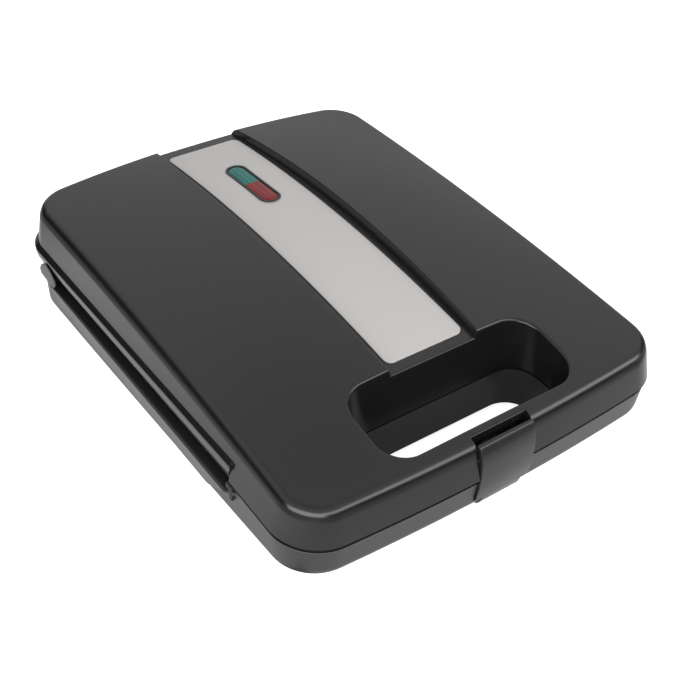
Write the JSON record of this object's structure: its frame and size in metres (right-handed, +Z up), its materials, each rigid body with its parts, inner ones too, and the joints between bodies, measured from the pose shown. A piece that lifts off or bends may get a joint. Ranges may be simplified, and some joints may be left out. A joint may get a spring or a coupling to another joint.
{
  "type": "sandwich toaster",
  "caption": "Countertop sandwich toaster: black moulded base and domed lid on a rear hinge, silver trim with lamps, open handle grip, front latch, non-stick pocket plates inside",
  "frame": {"origin": "On the table, under the middle of the overall length and width, lid closed", "axes": "+Z up, -Y towards the handle and latch, +Y towards the hinge, +X to the right of someone standing at the handle"},
  "size_m": [0.2742, 0.3682, 0.0907],
  "materials": {
    "housing": "satin black moulding",
    "nonstick": "cast, dark non-stick coating",
    "heater": "matt grey tube",
    "zinc": "bright plated",
    "shield": "bright rolled sheet",
    "thermostat": "plated cap",
    "ceramic": "ceramic body on a plastic bracket",
    "block": "natural moulding",
    "leads": "silicone insulation",
    "rubber": "matt black",
    "steel": "plain turned pin",
    "trim": "fine satin, warm silver",
    "bezel": "gloss black",
    "green": "clear green lens",
    "red": "clear red lens",
    "lamp_glass": "small neon bulb",
    "board": "phenolic board"
  },
  "bodies": {
    "base": {"base_housing": "housing", "lower_plate": "nonstick", "lower_heater": "heater", "lower_heater_clips": "zinc", "lower_heat_shield": "shield", "lower_plate_screws": "zinc", "thermostat": "thermostat", "thermal_fuse": "ceramic", "terminal_block": "block", "internal_leads": "leads", "cord_gland": "rubber", "feet": "rubber", "hinge_pins": "steel"},
    "lid": {"lid_housing": "housing", "trim_plate": "trim", "lamp_bezel": "bezel", "green_lens": "green", "red_lens": "red", "neon_lamps": "lamp_glass", "lamp_holder": "board", "lamp_holder_screws": "zinc", "upper_plate": "nonstick", "upper_heater": "heater", "upper_heater_clips": "zinc", "upper_heat_shield": "shield", "upper_plate_screws": "zinc", "latch_pin": "steel"},
    "latch": {"latch": "housing"}
  },
  "joints": [
    {"name": "lid_hinge", "type": "hinge", "parent": "base", "child": "lid", "pos_m": [0, 0.17854, 0.04766], "axis": [-1, 0, 0], "range_deg": [0, 100]},
    {"name": "latch_pivot", "type": "hinge", "parent": "lid", "child": "latch", "pos_m": [0, -0.17591, 0.03668], "axis": [-1, 0, 0], "range_deg": [0, 20]}
  ]
}
